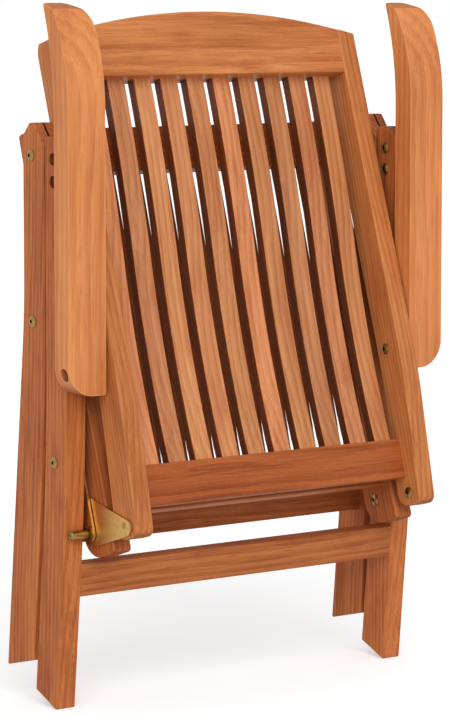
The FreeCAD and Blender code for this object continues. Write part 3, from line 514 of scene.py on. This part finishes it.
metalGroup = makeMetalGroup()
brassFinish = {
    "bright": (158, 128, 78), "dull": (84, 62, 34), "brush": 0.2, "stain": 0.35,
    "roughness": 0.22, "bump": 0.15,
}
plateFinish = dict(brassFinish, bright=(204, 162, 100), dull=(140, 102, 56), brush=0.25,
                   stain=0.25, roughness=0.30)
steelFinish = {
    "bright": (176, 172, 164), "dull": (92, 86, 78), "brush": 0.5, "stain": 0.6,
    "roughness": 0.34, "bump": 0.2,
}
metalPieces = {
    "brass_turned": (brassFinish, [
        "hinge_plate_bolts", "link_pivot_bolts", "leg_pivot_bolts", "seat_pivot_bolts",
        "link_end_bolts", "back_pivot_bolts", "arm_pivot_bolts", "bracket_screws",
        "link_pivot_washers", "arm_pivot_washers", "seat_pivot_spacers", "stub_pin_left",
        "stub_pin_right"]),
    "brass_plate": (plateFinish, [
        "seat_bracket_left", "seat_bracket_right", "link_strap_left", "link_strap_right"]),
    "steel_plate": (steelFinish, ["leg_hinge_plate_left", "leg_hinge_plate_right"]),
}


def dressMetal():
    for name, (finish, pieces) in metalPieces.items():
        material, tree, shader = newMaterial(name)
        coordinates = tree.nodes.new("ShaderNodeTexCoord")
        metal = placeGroup(tree, metalGroup, {
            "Place": coordinates.outputs["Object"], "Bright": asLight(finish["bright"]),
            "Dull": asLight(finish["dull"]), "Brush": finish["brush"],
            "Stain": finish["stain"]})
        # painted shade in the sockets and other hollows
        colour = paintHollowShade(tree, metal["Colour"], metalHollowShade)
        tree.links.new(colour, shader.inputs["Base Color"])
        rough = addMath(tree, "ADD", metal["Roughness"], finish["roughness"])
        tree.links.new(rough, shader.inputs["Roughness"])
        shader.inputs["Metallic"].default_value = 1.0
        addBump(tree, shader, metal["Height"], finish["bump"], metalBumpDepth)
        for piece in pieces:
            giveMaterial(piece, material)


dressMetal()
print("dressed the brass and the steel")


# The camera stands behind the chair, to its left, and looks slightly down

cameraSettings = {
    "place": (-2.4007, -3.2097, 0.8528), "turn": 36.703, "tilt": 6.336, "lens": 161.45,
    "sensor": 36.0, "farEnd": 200.0,
}


def placeCamera():
    data = bpy.data.cameras.new("photographCamera")
    data.sensor_width = cameraSettings["sensor"]
    data.lens = cameraSettings["lens"]
    data.clip_end = cameraSettings["farEnd"]
    camera = bpy.data.objects.new("photographCamera", data)
    bpy.context.scene.collection.objects.link(camera)
    camera.location = cameraSettings["place"]
    camera.rotation_euler = (math.radians(90 - cameraSettings["tilt"]), 0,
                             -math.radians(cameraSettings["turn"]))
    bpy.context.scene.camera = camera


# Floor and light: a pale floor that ends in white, one broad soft lamp from behind the chair,
# to its left and above, and an even sky

stageSettings = {
    "floorReach": 60.0, "floorColour": 0.84, "floorLift": 0.38, "floorRoughness": 0.9,
    "floorSheen": 0.1, "skyLevel": 0.60,
    "lampLevel": 1.5, "lampSpread": 50.0, "lampFrom": (-0.40, -0.73, 0.55),
}


def seenDirectly(tree):
    path = tree.nodes.new("ShaderNodeLightPath")
    seen = addMath(tree, "MAXIMUM", path.outputs["Is Camera Ray"], path.outputs["Is Glossy Ray"])
    return addMath(tree, "MAXIMUM", seen, path.outputs["Is Transmission Ray"])


def makeFloor():
    reach = stageSettings["floorReach"]
    mesh = bpy.data.meshes.new("floor")
    corners = [(-reach, -reach, 0), (reach, -reach, 0), (reach, reach, 0), (-reach, reach, 0)]
    mesh.from_pydata(corners, [], [(0, 1, 2, 3)])
    floor = bpy.data.objects.new("floor", mesh)
    bpy.context.scene.collection.objects.link(floor)
    material, tree, shader = newMaterial("paleFloor")
    shade = stageSettings["floorColour"]
    shader.inputs["Base Color"].default_value = (shade, shade, shade, 1)
    shader.inputs["Roughness"].default_value = stageSettings["floorRoughness"]
    shader.inputs["Specular IOR Level"].default_value = stageSettings["floorSheen"]
    shader.inputs["Emission Color"].default_value = (1, 1, 1, 1)
    lift = addMath(tree, "MULTIPLY", seenDirectly(tree), stageSettings["floorLift"])
    tree.links.new(lift, shader.inputs["Emission Strength"])
    mesh.materials.append(material)


def makeLight():
    world = bpy.data.worlds.new("studioWorld")
    bpy.context.scene.world = world
    world.use_nodes = True
    tree = world.node_tree
    background = next(n for n in tree.nodes if n.type == "BACKGROUND")
    background.inputs["Color"].default_value = (1, 1, 1, 1)
    level = stageSettings["skyLevel"]
    strength = addMath(tree, "MULTIPLY_ADD", seenDirectly(tree), 1.0 - level, level)
    tree.links.new(strength, background.inputs["Strength"])
    data = bpy.data.lights.new("softLamp", "SUN")
    data.energy = stageSettings["lampLevel"]
    data.angle = math.radians(stageSettings["lampSpread"])
    lamp = bpy.data.objects.new("softLamp", data)
    bpy.context.scene.collection.objects.link(lamp)
    lamp.rotation_euler = Vector(stageSettings["lampFrom"]).to_track_quat("Z", "Y").to_euler()


placeCamera()
makeFloor()
makeLight()
bpy.context.scene.view_settings.view_transform = "Standard"
print("placed the camera, the floor and the light")
